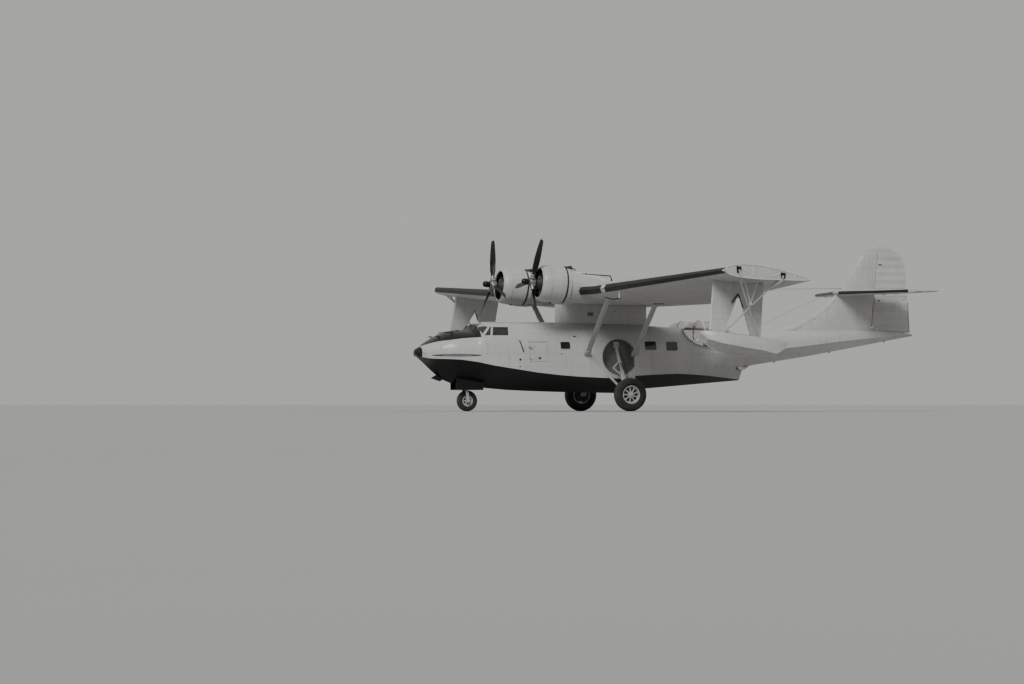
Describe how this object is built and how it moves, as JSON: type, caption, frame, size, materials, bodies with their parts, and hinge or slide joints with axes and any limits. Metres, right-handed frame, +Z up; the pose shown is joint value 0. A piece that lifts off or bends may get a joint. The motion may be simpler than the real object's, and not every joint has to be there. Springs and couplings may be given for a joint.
{
  "type": "twin-engined amphibious flying boat",
  "caption": "Parasol-winged amphibious flying boat on wheels, with radial engines above the hull, side blisters and wing-tip floats lowered on sloping panels.",
  "frame": {"origin": "on the floor under the middle of the overall box", "axes": "+X towards the nose, +Y to port along the span, +Z up; the span is the longest extent and the height the shortest"},
  "size_m": [19.46, 30.4, 6.3293],
  "materials": {
    "skin": "light grey paint, satin",
    "bottom_paint": "black paint, satin",
    "fabric_surface": "doped fabric over ribs, light grey",
    "clear_pane": "clear, polished",
    "grey_fitting": "grey paint, satin",
    "black_fitting": "black paint, matt",
    "bare_metal": "bare, brushed",
    "engine_metal": "grey enamel and bare fins",
    "gear_steel": "grey paint, satin",
    "tyre_rubber": "worn black rubber",
    "seat_cloth": "dark padded cloth"
  },
  "bodies": {
    "airframe": {"hull_bow": "skin", "hull_cockpit": "skin", "hull_cabin": "skin", "hull_waist": "skin", "hull_tail": "skin", "planing_bottom_fore": "bottom_paint", "planing_bottom_aft": "bottom_paint", "cockpit_canopy": "skin", "cockpit_glass": "clear_pane", "crew_seats": "seat_cloth", "instrument_panel": "black_fitting", "control_yokes": "black_fitting", "main_wheel_wells": "grey_fitting", "blister_frame_left": "skin", "blister_frame_right": "skin", "blister_glass_left": "clear_pane", "blister_glass_right": "clear_pane", "wing_centre": "skin", "wing_outer_left": "skin", "wing_outer_right": "skin", "pylon": "skin", "wing_strut_front_left": "grey_fitting", "wing_strut_front_right": "grey_fitting", "wing_strut_rear_left": "grey_fitting", "wing_strut_rear_right": "grey_fitting", "nacelle_left": "skin", "nacelle_right": "skin", "cowl_left": "skin", "cowl_right": "skin", "engine_left": "engine_metal", "engine_right": "engine_metal", "float_left": "skin", "float_right": "skin", "float_panel_left": "skin", "float_panel_right": "skin", "float_struts_left": "bare_metal", "float_struts_right": "bare_metal", "fin": "skin", "stabilizer_left": "skin", "stabilizer_right": "skin", "main_gear_leg_left": "gear_steel", "main_gear_leg_right": "gear_steel", "nose_gear_leg": "gear_steel", "nose_door_left": "skin", "nose_door_right": "skin"},
    "propeller_left": {"propeller_left": "black_fitting"},
    "propeller_right": {"propeller_right": "black_fitting"},
    "main_wheel_left": {"main_tyre_left": "tyre_rubber", "main_hub_left": "bare_metal"},
    "main_wheel_right": {"main_tyre_right": "tyre_rubber", "main_hub_right": "bare_metal"},
    "nose_fork": {"nose_gear_fork": "gear_steel"},
    "nose_wheel": {"nose_tyre": "tyre_rubber", "nose_hub": "bare_metal"},
    "aileron_left": {"aileron_left": "fabric_surface"},
    "aileron_right": {"aileron_right": "fabric_surface"},
    "elevators": {"elevators": "fabric_surface"},
    "rudder": {"rudder": "fabric_surface"},
    "entry_door": {"entry_door": "skin"}
  },
  "joints": [
    {"name": "propeller_left_spin", "type": "hinge", "parent": "airframe", "child": "propeller_left", "pos_m": [6.01, 2.1, 4.61], "axis": [0.9962, 0, 0.0872], "continuous": true},
    {"name": "propeller_right_spin", "type": "hinge", "parent": "airframe", "child": "propeller_right", "pos_m": [6.01, -2.1, 4.61], "axis": [0.9962, 0, 0.0872], "continuous": true},
    {"name": "main_wheel_left_roll", "type": "hinge", "parent": "airframe", "child": "main_wheel_left", "pos_m": [2.43, 2.56, 0.6], "axis": [0, 1, 0], "continuous": true},
    {"name": "main_wheel_right_roll", "type": "hinge", "parent": "airframe", "child": "main_wheel_right", "pos_m": [2.43, -2.56, 0.6], "axis": [0, 1, 0], "continuous": true},
    {"name": "nose_fork_steer", "type": "hinge", "parent": "airframe", "child": "nose_fork", "pos_m": [7.81, 0, 0.88], "axis": [0, 0, 1], "range_deg": [-30, 30]},
    {"name": "nose_wheel_roll", "type": "hinge", "parent": "nose_fork", "child": "nose_wheel", "pos_m": [7.73, 0, 0.38], "axis": [0, 1, 0], "continuous": true},
    {"name": "aileron_left_hinge", "type": "hinge", "parent": "airframe", "child": "aileron_left", "pos_m": [0.82869, 6.65, 4.09522], "axis": [0.058, 0.9971, 0.0484], "range_deg": [-20, 20]},
    {"name": "aileron_right_hinge", "type": "hinge", "parent": "airframe", "child": "aileron_right", "pos_m": [0.82869, -6.65, 4.09522], "axis": [-0.058, 0.9971, -0.0484], "range_deg": [-20, 20]},
    {"name": "elevator_hinge", "type": "hinge", "parent": "airframe", "child": "elevators", "pos_m": [-8.07, 0, 4.36], "axis": [0, 1, 0], "range_deg": [-20, 30]},
    {"name": "rudder_hinge", "type": "hinge", "parent": "airframe", "child": "rudder", "pos_m": [-8.11, 0, 2.86], "axis": [-0.0918, 0, 0.9958], "range_deg": [-22, 22]},
    {"name": "entry_door_hinge", "type": "hinge", "parent": "airframe", "child": "entry_door", "pos_m": [5.83, 1.505, 2.13], "axis": [0, 0, -1], "range_deg": [0, 100]}
  ],
  "couplings": [
    {"joint": "aileron_right_hinge", "follows": "aileron_left_hinge", "ratio": -1}
  ]
}
